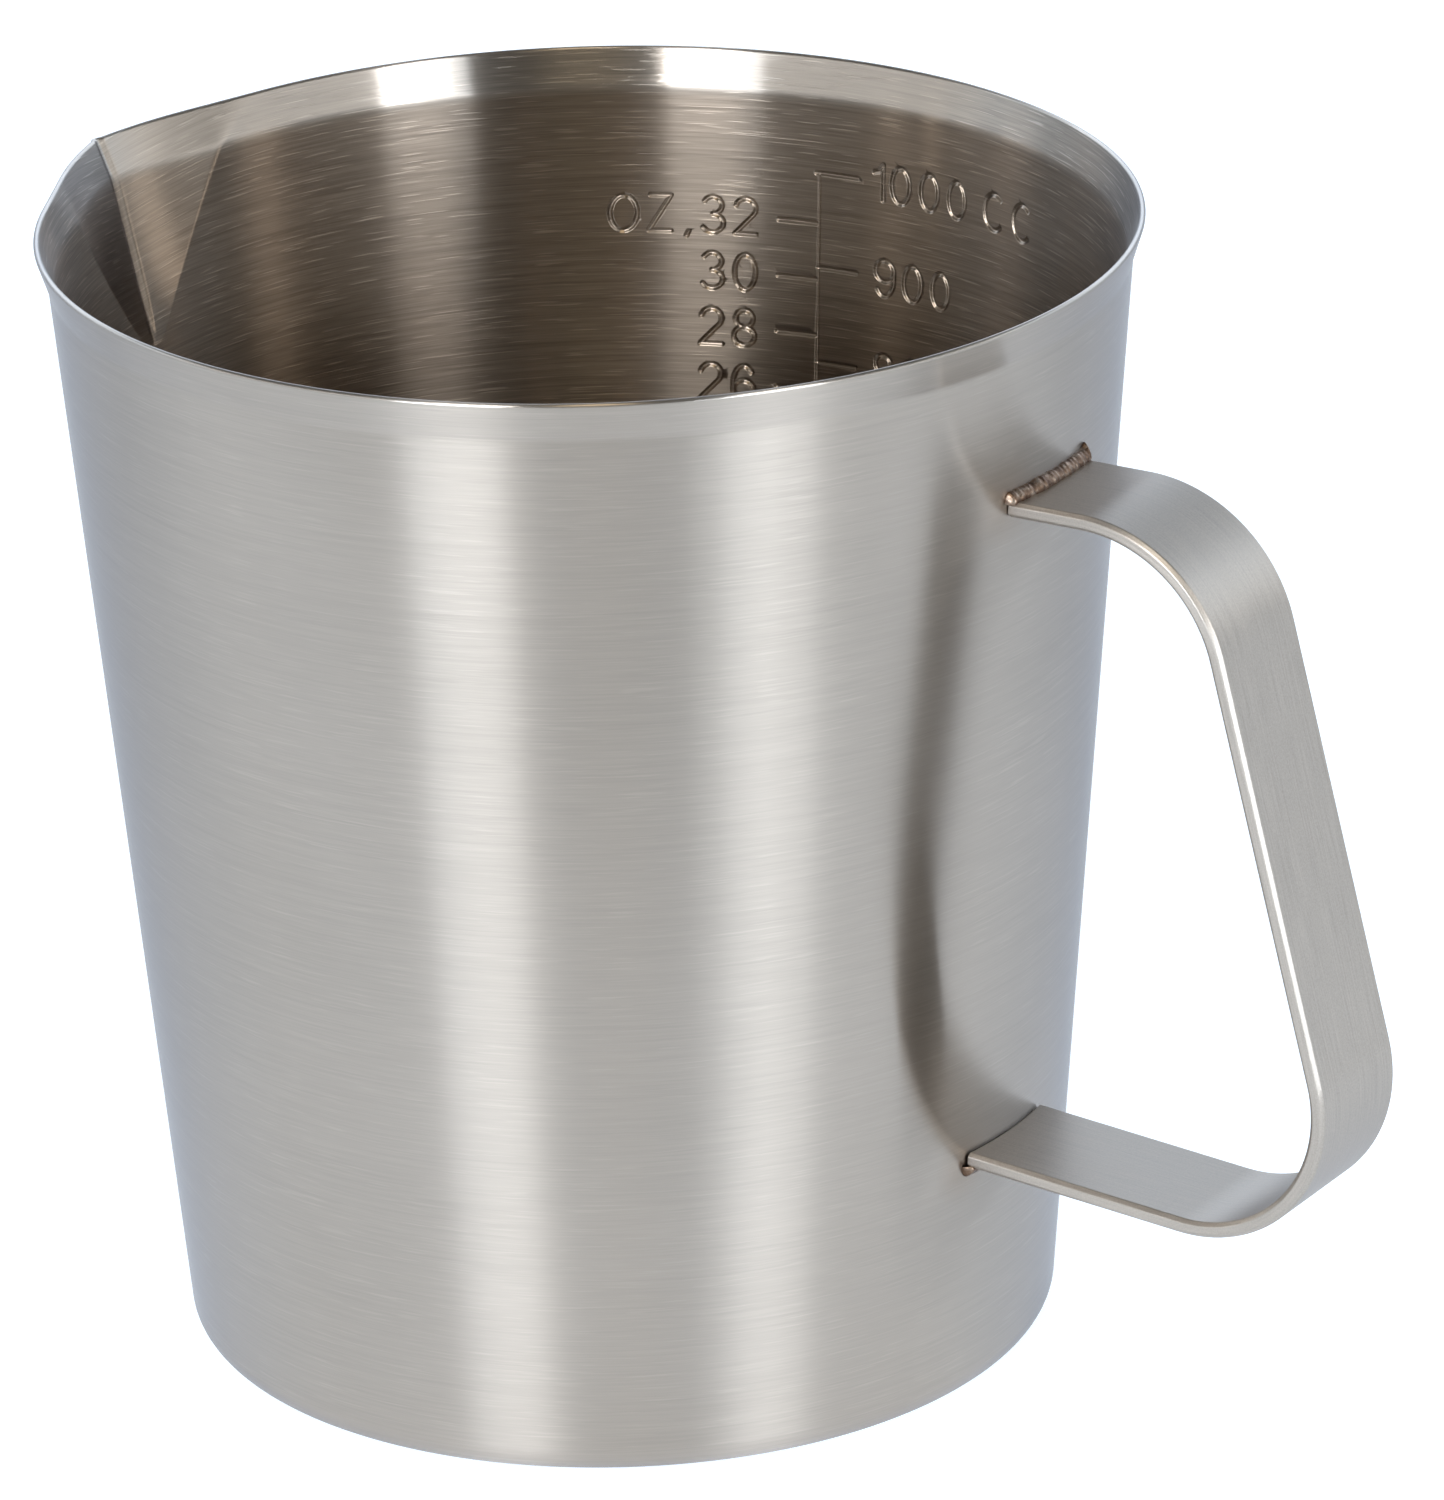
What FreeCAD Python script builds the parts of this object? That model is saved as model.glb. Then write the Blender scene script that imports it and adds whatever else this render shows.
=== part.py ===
import FreeCAD, Part

import os

import Sketcher

Vector = FreeCAD.Vector

# A one-litre jug: a deep-drawn sheet cup with a flared rim and a pressed V spout, and a bent flat-strap
# handle welded to its wall. Millimetres, +Z up, origin at the centre of the base's underside, handle
# towards +X. The spout is opposite, but spout_turn degrees further round: the handle is welded on a
# little off it. The cup's outer wall is a cone, and every thickness of sheet is measured horizontally
# in the wall and vertically in the floor.

DIMENSIONS = (
    ("cup_height", "129", "underside of the base to the rim"),
    ("base_radius", "48.56", "outer wall carried down to the base's underside"),
    ("neck_height", "124.5", "where the wall bends out into the flare"),
    ("neck_radius", "59.34", "outer wall at the neck"),
    ("rim_radius", "60.8", "outer edge of the rim"),
    ("sheet_thickness", "0.7", "wall and floor"),
    ("base_corner_radius", "3.6", "outside, between wall and base"),
    ("rim_edge_radius", "0.2", "rounding of the rim's two edges"),
    ("spout_turn", "3.1", "degrees from straight opposite the handle to the spout, anticlockwise from above"),
    ("spout_reach", "64.3", "axis to the tip of the spout, at the rim"),
    ("spout_foot_height", "105.5", "bottom of the pressed V"),
    ("spout_shoulder_height", "109", "above this the V opens evenly"),
    ("spout_foot_half_width", "1", "half the V's width at its foot"),
    ("spout_shoulder_half_width", "5.5", "half the V's width at its shoulder"),
    ("spout_neck_half_width", "16", "half the V's width at the neck"),
    ("spout_rim_half_width", "19.9", "half the V's width at the rim"),
    ("spout_foot_inset", "0.1", "the V's foot starts this far inside the sheet's face"),
    ("spout_rim_inset", "0.3", "the V's rim corners lie this far inside the rim's edge"),
    ("strap_width", "15.8", "flat strap, across"),
    ("strap_thickness", "1.8", "flat strap, through"),
    ("strap_edge_radius", "0.45", "rounding along the strap's four edges"),
    ("strap_start", "45", "where the strap's line starts, inside the wall, before it is trimmed"),
    ("upper_corner_x", "79.6", "middle line of the upper leg meets that of the grip"),
    ("upper_corner_z", "107.5", "height of the upper leg's middle line"),
    ("lower_corner_x", "99.54", "middle line of the lower leg meets that of the grip"),
    ("lower_corner_z", "26.55", "height of that corner"),
    ("lower_leg_rise", "4.2", "the lower leg climbs this much from its corner to strap_start"),
    ("upper_bend_radius", "17.1", "middle line"),
    ("lower_bend_radius", "16.1", "middle line"),
    ("bead_leg", "1.3", "side of a weld bead along the wall and along the strap"),
    ("bead_throat", "1.1", "corner to the crown of a weld bead"),
    ("bead_length", "16.6", "each weld bead, along the wall"),
)

WALL_SLOPE = "(Dims.neck_radius - Dims.base_radius) / Dims.neck_height"


def add_dimensions(doc):
    """Write the driving dimensions to a spreadsheet, one alias per row."""
    sheet = doc.addObject("Spreadsheet::Sheet", "Dims")
    for row, (alias, value, meaning) in enumerate(DIMENSIONS, start=1):
        sheet.set(f"A{row}", alias)
        sheet.set(f"B{row}", value)
        sheet.set(f"C{row}", meaning)
        sheet.setAlias(f"B{row}", alias)
    doc.recompute()
    return sheet


def wall_at(height):
    """Expression for the outer wall's radius at a height, itself an expression."""
    return f"(Dims.base_radius + {WALL_SLOPE} * ({height}))"


def crease_at(height):
    """Expression for the spout crease's distance from the axis, straight from foot to tip."""
    foot = wall_at("Dims.spout_foot_height")
    rise = "(Dims.cup_height - Dims.spout_foot_height)"
    return f"({foot} + (Dims.spout_reach - {foot}) * ({height} - Dims.spout_foot_height) / {rise})"


def origin_plane(body, role):
    """The body's own origin plane with this role, such as XZ_Plane."""
    return next(feature for feature in body.Origin.OriginFeatures if feature.Role == role)


def add_body(doc, name):
    body = doc.addObject("PartDesign::Body", name)
    body.Label = name
    body.Placement = FreeCAD.Placement()
    return body


def add_sketch(body, name, role, offset=None):
    """A sketch on one of the body's origin planes, moved along its normal by an expression."""
    sketch = body.newObject("Sketcher::SketchObject", name)
    sketch.AttachmentSupport = [(origin_plane(body, role), "")]
    sketch.MapMode = "FlatFace"
    if offset:
        sketch.setExpression("AttachmentOffset.Base.z", offset)
    return sketch


def drive(sketch, kind, *where, expression, start):
    """Add a dimensional constraint near its rough value, and bind it to the spreadsheet."""
    index = sketch.addConstraint(Sketcher.Constraint(kind, *where, start))
    sketch.setExpression(f"Constraints[{index}]", expression)
    return index


def place_vertex(sketch, edge, end, x, y):
    """Fix one end of a sketch edge at x and y, both expressions."""
    rough = sketch.getPoint(edge, end)
    drive(sketch, "DistanceX", -1, 1, edge, end, expression=x, start=rough.x)
    drive(sketch, "DistanceY", -1, 1, edge, end, expression=y, start=rough.y)


def closed_polygon(sketch, guesses):
    """Join straight edges through rough points, which constraints then move into place."""
    count = len(guesses)
    for index in range(count):
        start, end = Vector(*guesses[index], 0), Vector(*guesses[(index + 1) % count], 0)
        sketch.addGeometry(Part.LineSegment(start, end), False)
    for index in range(count):
        sketch.addConstraint(Sketcher.Constraint("Coincident", index, 2, (index + 1) % count, 1))


def cup_profile(body, name, inset, floor):
    """Half section of the cup, from the axis to the wall moved in by inset, above the floor."""
    sketch = add_sketch(body, name, "XZ_Plane")
    guesses = [(0, 1), (48, 1), (59, 124), (60, 129), (0, 129)]
    closed_polygon(sketch, guesses)
    top = "Dims.cup_height"
    place_vertex(sketch, 0, 1, "0", floor)
    place_vertex(sketch, 1, 1, f"{wall_at(floor)} - {inset}", floor)
    place_vertex(sketch, 2, 1, f"Dims.neck_radius - {inset}", "Dims.neck_height")
    place_vertex(sketch, 3, 1, f"Dims.rim_radius - {inset}", top)
    place_vertex(sketch, 4, 1, "0", top)
    return sketch


def spout_section(body, name, height, half_width, inset, wall=None):
    """Horizontal triangle of the pressed V: its tip on the crease, its other corners on the wall."""
    sketch = add_sketch(body, name, "XY_Plane", offset=height)
    closed_polygon(sketch, [(-62, 0), (-57, -9), (-57, 9)])
    place_vertex(sketch, 0, 1, f"{inset} - {crease_at(height)}", "0")
    wall_radius = f"{wall or wall_at(height)} - {inset}"
    for edge, side in ((1, "-"), (2, "")):
        back = f"-sqrt(({wall_radius}) ^ 2 - ({half_width}) ^ 2)"
        place_vertex(sketch, edge, 1, back, f"{side}{half_width}")
    return sketch


def spout_loft(body, kind, prefix, inset):
    """The wedge that the spout adds outside the wall, or clears inside it."""
    foot = spout_section(body, f"{prefix}_foot", "Dims.spout_foot_height",
                         "Dims.spout_foot_half_width", f"({inset} + Dims.spout_foot_inset)")
    shoulder = spout_section(body, f"{prefix}_shoulder", "Dims.spout_shoulder_height",
                             "Dims.spout_shoulder_half_width", inset)
    neck = spout_section(body, f"{prefix}_neck", "Dims.neck_height",
                         "Dims.spout_neck_half_width", inset)
    rim = spout_section(body, f"{prefix}_rim", "Dims.cup_height",
                        "Dims.spout_rim_half_width", inset,
                        wall="(Dims.rim_radius - Dims.spout_rim_inset)")
    loft = body.newObject(kind, prefix)
    loft.Profile = (foot, [""])
    loft.Sections = [(section, [""]) for section in (shoulder, neck, rim)]
    loft.Ruled = True
    loft.Closed = False
    return loft


def level_edges(shape, height, tolerance=1e-3):
    """Names of the edges that lie wholly at one height."""
    names = []
    for number, edge in enumerate(shape.Edges, start=1):
        box = edge.BoundBox
        if abs(box.ZMin - height) < tolerance and abs(box.ZMax - height) < tolerance:
            names.append(f"Edge{number}")
    return names


def fillet(doc, body, name, base, height, radius):
    """Round the edges that lie at this height."""
    doc.recompute()
    feature = body.newObject("PartDesign::Fillet", name)
    feature.Base = (base, level_edges(base.Shape, height))
    feature.setExpression("Radius", radius)
    return feature


def revolve(body, kind, name, sketch):
    feature = body.newObject(kind, name)
    feature.Profile = (sketch, [""])
    feature.ReferenceAxis = (sketch, ["V_Axis"])
    feature.Angle = 360
    return feature


def make_cup_shell(doc, sheet):
    """One sheet: tapered wall, rounded base corner, flared rim and V spout.

    It's drawn with the spout straight opposite the handle, and then turned about its own axis.
    """
    body = add_body(doc, "cup_shell")
    body.Placement = FreeCAD.Placement(Vector(), FreeCAD.Rotation(Vector(0, 0, 1), 1))
    body.setExpression("Placement.Rotation.Angle", "Dims.spout_turn")
    thickness = "Dims.sheet_thickness"
    revolve(body, "PartDesign::Revolution", "outside",
            cup_profile(body, "outside_profile", inset="0", floor="0"))
    spout_loft(body, "PartDesign::AdditiveLoft", "spout_outside", inset="0")
    revolve(body, "PartDesign::Groove", "inside",
            cup_profile(body, "inside_profile", inset=thickness, floor=thickness))
    hollow = spout_loft(body, "PartDesign::SubtractiveLoft", "spout_inside", inset=thickness)

    corner = fillet(doc, body, "base_corner", hollow, 0.0, "Dims.base_corner_radius")
    inner = fillet(doc, body, "inner_corner", corner, sheet.sheet_thickness,
                   f"Dims.base_corner_radius - {thickness}")
    fillet(doc, body, "rim_rounding", inner, sheet.cup_height, "Dims.rim_edge_radius")
    return body


def strap_path(body):
    """Middle line of the handle strap: level upper leg, leaning grip, lower leg that climbs to the wall."""
    sketch = add_sketch(body, "strap_path", "XZ_Plane")
    upper_leg = sketch.addGeometry(Part.LineSegment(Vector(45, 107.5, 0), Vector(66, 107.5, 0)), False)
    upper_bend = sketch.addGeometry(
        Part.Arc(Vector(66, 107.5, 0), Vector(78, 102, 0), Vector(83, 94, 0)), False)
    grip = sketch.addGeometry(Part.LineSegment(Vector(83, 94, 0), Vector(95.5, 43, 0)), False)
    lower_bend = sketch.addGeometry(
        Part.Arc(Vector(95.5, 43, 0), Vector(92, 32, 0), Vector(80, 28, 0)), False)
    lower_leg = sketch.addGeometry(Part.LineSegment(Vector(80, 28, 0), Vector(45, 30.7, 0)), False)

    for line, arc, line_end in ((upper_leg, upper_bend, 2), (grip, upper_bend, 1),
                                (grip, lower_bend, 2), (lower_leg, lower_bend, 1)):
        arc_end = nearest_end(sketch, line, line_end, arc)
        sketch.addConstraint(Sketcher.Constraint("Tangent", line, line_end, arc, arc_end))

    place_vertex(sketch, upper_leg, 1, "Dims.strap_start", "Dims.upper_corner_z")
    place_vertex(sketch, lower_leg, 2, "Dims.strap_start", "Dims.lower_corner_z + Dims.lower_leg_rise")
    for label, lines, guess in (("upper_corner", (upper_leg, grip), (79.6, 107.5)),
                                ("lower_corner", (grip, lower_leg), (99.5, 26.5))):
        corner = sketch.addGeometry(Part.Point(Vector(*guess, 0)), True)
        for line in lines:
            sketch.addConstraint(Sketcher.Constraint("PointOnObject", corner, 1, line))
        place_vertex(sketch, corner, 1, f"Dims.{label}_x", f"Dims.{label}_z")
    drive(sketch, "Radius", upper_bend, expression="Dims.upper_bend_radius", start=17.1)
    drive(sketch, "Radius", lower_bend, expression="Dims.lower_bend_radius", start=16.1)
    return sketch


def nearest_end(sketch, line, line_end, arc):
    """Which end of an arc, 1 or 2, lies nearest this end of a line."""
    point = sketch.getPoint(line, line_end)
    return min((1, 2), key=lambda end: point.distanceToPoint(sketch.getPoint(arc, end)))


def strap_section(body):
    """Rounded rectangle across the strap, where its middle line starts."""
    sketch = add_sketch(body, "strap_section", "YZ_Plane", offset="Dims.strap_start")
    half_width = "Dims.strap_width / 2"
    half_depth = "Dims.strap_thickness / 2"
    middle = "Dims.upper_corner_z"
    closed_polygon(sketch, [(-7.9, 106.6), (7.9, 106.6), (7.9, 108.4), (-7.9, 108.4)])
    place_vertex(sketch, 0, 1, f"-({half_width})", f"{middle} - {half_depth}")
    place_vertex(sketch, 1, 1, half_width, f"{middle} - {half_depth}")
    place_vertex(sketch, 2, 1, half_width, f"{middle} + {half_depth}")
    place_vertex(sketch, 3, 1, f"-({half_width})", f"{middle} + {half_depth}")
    return sketch


def strap_edges(shape, sheet):
    """Names of the edges that run along the strap, at its four corners."""
    side = sheet.strap_width / 2
    names = []
    for number, edge in enumerate(shape.Edges, start=1):
        box = edge.BoundBox
        flat_in_y = box.YMax - box.YMin < 1e-3
        if flat_in_y and abs(abs(box.YMin) - side) < 1e-3 and edge.Length > 4 * sheet.strap_thickness:
            names.append(f"Edge{number}")
    return names


def make_handle_strap(doc, sheet):
    """Flat strap bent to a D, its ends trimmed to the cup's wall."""
    body = add_body(doc, "handle_strap")
    path = strap_path(body)
    section = strap_section(body)
    strap = body.newObject("PartDesign::AdditivePipe", "strap")
    strap.Profile = (section, [""])
    strap.Spine = (path, [""])
    doc.recompute()

    rounded = body.newObject("PartDesign::Fillet", "strap_rounding")
    rounded.Base = (strap, strap_edges(strap.Shape, sheet))
    rounded.setExpression("Radius", "Dims.strap_edge_radius")

    trim = add_sketch(body, "wall_trim_profile", "XZ_Plane")
    closed_polygon(trim, [(0, 1), (48, 1), (59, 124), (0, 124)])
    place_vertex(trim, 0, 1, "0", "0")
    place_vertex(trim, 1, 1, "Dims.base_radius", "0")
    place_vertex(trim, 2, 1, "Dims.neck_radius", "Dims.neck_height")
    place_vertex(trim, 3, 1, "0", "Dims.neck_height")
    revolve(body, "PartDesign::Groove", "wall_trim", trim)
    return body


def make_weld_bead(doc, name, corner_height, slope, side):
    """A fillet weld along the wall: a rounded triangle turned about the cup's axis.

    corner_height is where the strap's face meets the wall, slope is that face's slope, and side is
    +1 for a bead that lies on the strap or -1 for one under it.
    """
    body = add_body(doc, name)
    sketch = add_sketch(body, f"{name}_section", "XZ_Plane")
    corner = (wall_at(corner_height), corner_height)
    toe_height = f"{corner_height} + {side} * Dims.bead_leg"
    wall_toe = (wall_at(toe_height), toe_height)
    strap_toe = (f"{corner[0]} + Dims.bead_leg", f"{corner_height} + ({slope}) * Dims.bead_leg")
    crown = (f"{corner[0]} + Dims.bead_throat / sqrt(2)",
             f"{corner_height} + {side} * Dims.bead_throat / sqrt(2)")

    rough_height = 60.0 if side > 0 else 30.0
    closed_polygon(sketch, [(58, rough_height), (58, rough_height + side),
                            (59, rough_height + side), (59, rough_height)])
    for edge, (x, y) in enumerate((corner, wall_toe, crown, strap_toe)):
        place_vertex(sketch, edge, 1, x, y)

    bead = revolve(body, "PartDesign::Revolution", f"{name}_bead", sketch)
    bead.Midplane = True
    bead.setExpression("Angle", f"Dims.bead_length / {corner[0]} * 180 / pi")
    return body


def check(doc, bodies):
    """Stop if any feature failed or any sub-part is empty or invalid."""
    failed = [item.Label for item in doc.Objects if {"Invalid", "Error"} & set(item.State)]
    if failed:
        raise RuntimeError(f"features failed: {failed}")
    for body in bodies:
        if body.Shape.isNull() or not body.Shape.isValid() or len(body.Shape.Solids) != 1:
            raise RuntimeError(f"{body.Label} isn't one valid solid")


def main():
    doc = FreeCAD.newDocument("jug")
    sheet = add_dimensions(doc)
    upper_face = "(Dims.upper_corner_z + Dims.strap_thickness / 2)"
    leg_slope = "-Dims.lower_leg_rise / (Dims.lower_corner_x - Dims.strap_start)"
    wall_by_leg = wall_at("Dims.lower_corner_z")
    lower_face = (f"(Dims.lower_corner_z - Dims.strap_thickness / 2 + {leg_slope} "
                  f"* ({wall_by_leg} - Dims.lower_corner_x))")
    bodies = [
        make_cup_shell(doc, sheet),
        make_handle_strap(doc, sheet),
        make_weld_bead(doc, "upper_weld_bead", upper_face, "0", side=1),
        make_weld_bead(doc, "lower_weld_bead", lower_face, leg_slope, side=-1),
    ]
    doc.recompute()
    check(doc, bodies)

    os.makedirs("parts", exist_ok=True)
    for body in bodies:
        body.Shape.exportStep(f"parts/{body.Label}.step")
        print(f"{body.Label}: {body.Shape.Volume:.1f} mm3, {body.Shape.BoundBox}")


main()
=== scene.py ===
import math

import bpy
import numpy as np
from mathutils import Matrix, Vector


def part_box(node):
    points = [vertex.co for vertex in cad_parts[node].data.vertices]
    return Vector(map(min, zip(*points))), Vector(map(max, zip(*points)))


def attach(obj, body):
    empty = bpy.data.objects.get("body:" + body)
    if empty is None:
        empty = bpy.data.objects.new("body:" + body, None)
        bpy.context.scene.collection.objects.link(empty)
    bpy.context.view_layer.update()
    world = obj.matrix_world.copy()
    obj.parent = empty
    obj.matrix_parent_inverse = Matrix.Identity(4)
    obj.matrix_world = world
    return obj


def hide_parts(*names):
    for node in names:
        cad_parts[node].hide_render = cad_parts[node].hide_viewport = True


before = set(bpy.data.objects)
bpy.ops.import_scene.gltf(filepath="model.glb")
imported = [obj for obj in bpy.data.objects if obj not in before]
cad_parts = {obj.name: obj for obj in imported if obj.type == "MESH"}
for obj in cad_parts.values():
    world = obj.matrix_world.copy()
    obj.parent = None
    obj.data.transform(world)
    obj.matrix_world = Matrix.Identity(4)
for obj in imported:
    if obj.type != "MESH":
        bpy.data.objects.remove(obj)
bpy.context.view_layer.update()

MM = 0.001
SCENE = bpy.context.scene

# ---------------------------------------------------------------- sizes, in millimetres
CUP_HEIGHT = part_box("cup_shell")[1].z / MM
BASE_RADIUS = 48.56
NECK_HEIGHT = 124.5
NECK_RADIUS = 59.34
RIM_RADIUS = 60.8
SHEET = 0.7
BASE_CORNER = 3.6
NECK_BEND = 3.5
HUB_RADIUS = 0.4
WALL_SLOPE = (NECK_RADIUS - BASE_RADIUS) / NECK_HEIGHT

# The spout sits SPOUT_TURN round from straight opposite the handle. Its crease runs from
# its foot to the neck's reach and on to the rim's, with a narrow groove along it.
SPOUT_TURN = math.radians(3.1)
SPOUT_FOOT = 105.5
SPOUT_NECK_REACH = 62.2
SPOUT_RIM_REACH = 64.1
SPOUT_CREASE_ROUND = 0.3
GROOVE_HALF = 0.34
GROOVE_DEPTH = 0.22
# Half its width is SPREAD * share + BULGE * share ** POWER, for a rounded foot, and its
# sides blend into the wall over these shares of that width.
SPOUT_SPREAD = 14.0
SPOUT_BULGE = 3.6
SPOUT_BULGE_POWER = 0.3
SPOUT_BLEND_NECK = 0.045
SPOUT_BLEND_RIM = 0.30

STRAP_HALF_WIDTH = 7.9
STRAP_HALF_THICKNESS = 0.9
STRAP_CHAMFER = 0.42
STRAP_EDGE_ROUND = 0.30
STRAP_START = 45.0
UPPER_CORNER = (79.6, 107.5)
LOWER_CORNER = (99.54, 26.55)
LOWER_LEG_RISE = 4.2
UPPER_BEND = 17.1
LOWER_BEND = 16.1
# the strap's edges are rounded off where it is cut, and these gaps stay to the wall
END_ROUND = 0.22
END_CLEAR = 1.2
UPPER_GAP = 0.02
LOWER_GAP = 0.16

# The cup's surface is a grid with COLUMNS round the axis and rows along its profile. Each
# cell is divided up to FINE times where the shape needs it.
FINE = 32
COLUMNS = 144
FINE_COLUMNS = COLUMNS * FINE


# ---------------------------------------------------------------- paths of lines and arcs
def rounded_path(points, radii):
    """Segments of the polyline with its inner corners rounded: lines (start, end) and
    arcs (centre, radius, first angle, last angle)."""
    points = [np.array(p, float) for p in points]
    segments, start = [], points[0]
    for before, corner, after, radius in zip(points, points[1:], points[2:], radii):
        inward = (before - corner) / np.linalg.norm(before - corner)
        onward = (after - corner) / np.linalg.norm(after - corner)
        half = math.acos(np.clip(inward @ onward, -1, 1)) / 2
        first = corner + inward * radius / math.tan(half)
        last = corner + onward * radius / math.tan(half)
        bisector = (inward + onward) / np.linalg.norm(inward + onward)
        centre = corner + bisector * radius / math.sin(half)
        a0 = math.atan2(*(first - centre)[::-1])
        a1 = math.atan2(*(last - centre)[::-1])
        a1 = a0 + (a1 - a0 + math.pi) % (2 * math.pi) - math.pi
        segments.append((start, first))
        segments.append((centre, radius, a0, a1))
        start = last
    segments.append((start, points[-1]))
    return segments


def along(segment, t):
    """Points and unit directions at the shares t of a line or an arc."""
    t = np.asarray(t, float)[:, None]
    if len(segment) == 2:
        start, end = segment
        way = (end - start) / np.linalg.norm(end - start)
        return start + (end - start) * t, np.repeat(way[None], len(t), 0)
    centre, radius, a0, a1 = segment
    a = a0 + (a1 - a0) * t
    turn = math.copysign(1.0, a1 - a0)
    ray = np.hstack([np.cos(a), np.sin(a)])
    return centre + radius * ray, turn * np.hstack([-ray[:, 1:], ray[:, :1]])


def length_of(segment):
    """The length of a line or an arc."""
    if len(segment) == 2:
        return float(np.linalg.norm(segment[1] - segment[0]))
    return abs(segment[3] - segment[2]) * segment[1]


# ---------------------------------------------------------------- the cup's shape
def cup_profile():
    """Radius, height and direction of every fine row of the cup, from the middle of the
    underside over the lip to the middle of the floor, and the rows of the named parts."""
    lean = math.atan(WALL_SLOPE)
    flare = math.atan((RIM_RADIUS - NECK_RADIUS) / (CUP_HEIGHT - NECK_HEIGHT))
    lip = SHEET / 2
    rise = (CUP_HEIGHT - lip - NECK_HEIGHT - lip * math.sin(flare)) / math.cos(flare)
    flare_way = np.array([math.sin(flare), math.cos(flare)])
    flare_out = np.array([math.cos(flare), -math.sin(flare)])
    neck = np.array([NECK_RADIUS, NECK_HEIGHT])
    outer_end = neck + rise * flare_way
    lip_centre = outer_end - lip * flare_out
    inner_end = outer_end - SHEET * flare_out
    middle = (lean + flare) / 2
    miter = SHEET / math.cos((flare - lean) / 2)
    inner_neck = neck + miter * np.array([-math.cos(middle), math.sin(middle)])
    inner_foot = (BASE_RADIUS + SHEET * WALL_SLOPE - SHEET / math.cos(lean), SHEET)
    outer = rounded_path([(HUB_RADIUS, 0), (BASE_RADIUS, 0), neck, outer_end],
                         [BASE_CORNER, NECK_BEND])
    inner = rounded_path([inner_end, inner_neck, inner_foot, (HUB_RADIUS, SHEET)],
                         [NECK_BEND + SHEET, BASE_CORNER - SHEET])
    lip_arc = (lip_centre, lip, -flare, math.pi - flare)
    # each part's name, its line or arc, and how many coarse rows it has
    named = [("underside", outer[0], 6), ("foot", outer[1], 6), ("outer_wall", outer[2], 24),
             ("outer_neck", outer[3], 3), ("outer_flare", outer[4], 2), ("lip", lip_arc, 4),
             ("inner_flare", inner[0], 2), ("inner_neck", inner[1], 3),
             ("inner_wall", inner[2], 50), ("corner", inner[3], 6), ("floor", inner[4], 6)]
    points, ways, rows, at = [], [], {}, 0
    for name, segment, coarse in named:
        steps = coarse * FINE
        p, w = along(segment, np.arange(steps) / steps)
        points.append(p)
        ways.append(w)
        rows[name] = (at, at + steps)
        at += steps
    p, w = along(named[-1][1], [1.0])
    points, ways = np.vstack(points + [p]), np.vstack(ways + [w])
    return points[:, 0], points[:, 1], ways, rows


def wall_radius(z):
    return BASE_RADIUS + WALL_SLOPE * z


def outer_radius(z):
    """The outside radius of the cup without its spout, as straight lines."""
    return np.where(z < NECK_HEIGHT, wall_radius(z),
                    NECK_RADIUS + (z - NECK_HEIGHT) * (RIM_RADIUS - NECK_RADIUS)
                    / (CUP_HEIGHT - NECK_HEIGHT))


def soft_ramp(x, blend):
    """Zero below -blend, x above blend, and a parabola between."""
    return np.where(x < -blend, 0.0, np.where(x > blend, x, (x + blend) ** 2 / (4 * blend)))


def spout_width(z):
    """Half the spout's width at a height, and the height as a share of the spout's."""
    share = np.clip((z - SPOUT_FOOT) / (CUP_HEIGHT - SPOUT_FOOT), 0, 1)
    return SPOUT_SPREAD * share + SPOUT_BULGE * share ** SPOUT_BULGE_POWER, share


def spout_push(theta, z):
    """How far the spout moves the sheet outwards: two facets that meet in a crease."""
    side = NECK_RADIUS * np.abs(theta % (2 * math.pi) - math.pi)
    width, share = spout_width(z)
    side = np.sqrt(side ** 2 + SPOUT_CREASE_ROUND ** 2) - SPOUT_CREASE_ROUND
    crease = np.interp(z, (SPOUT_FOOT, NECK_HEIGHT, CUP_HEIGHT),
                       (wall_radius(SPOUT_FOOT), SPOUT_NECK_REACH, SPOUT_RIM_REACH))
    deep = np.where(share > 0, crease - outer_radius(z), 0)
    blend = np.interp(z, (NECK_HEIGHT, CUP_HEIGHT), (SPOUT_BLEND_NECK, SPOUT_BLEND_RIM))
    groove = GROOVE_DEPTH * np.exp(-(side / GROOVE_HALF) ** 2) * np.clip(4 * share, 0, 1)
    return deep * soft_ramp(1 - side / np.maximum(width, 1e-6), blend) + groove


# ---------------------------------------------------------------- the stamped scale
# Its vertical line is at SCALE_THETA and its 1000 cc mark at SCALE_TOP. STROKE_REACH is how
# far round a stroke the wall's distance to it is worked out.
SCALE_THETA = math.radians(93.25)
SCALE_TOP = 115.8
MM_PER_CC = 0.111
CC_PER_OZ = 29.5735
DIGIT_HALF_HEIGHT = 2.075
STROKE_HALF = 0.36
LINE_HALF = 0.24
STROKE_DEPTH = 0.22
STROKE_REACH = STROKE_HALF + 1.2
SCALE_ANGLES = (SCALE_THETA - 0.66, SCALE_THETA + 0.53)
# the strokes' cells are 2 wide above the first height and 1 wide above the second
MEDIUM_SCALE_ABOVE = 60.0
FINE_SCALE_ABOVE = 99.5


def oval(cx, cy, rx, ry, first=0.0, last=360.0, steps=22):
    a = np.radians(np.linspace(first, last, steps))
    return list(zip(cx + rx * np.cos(a), cy + ry * np.sin(a)))


def turned(lines):
    return [[(-x, -y) for x, y in line] for line in lines]


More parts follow.
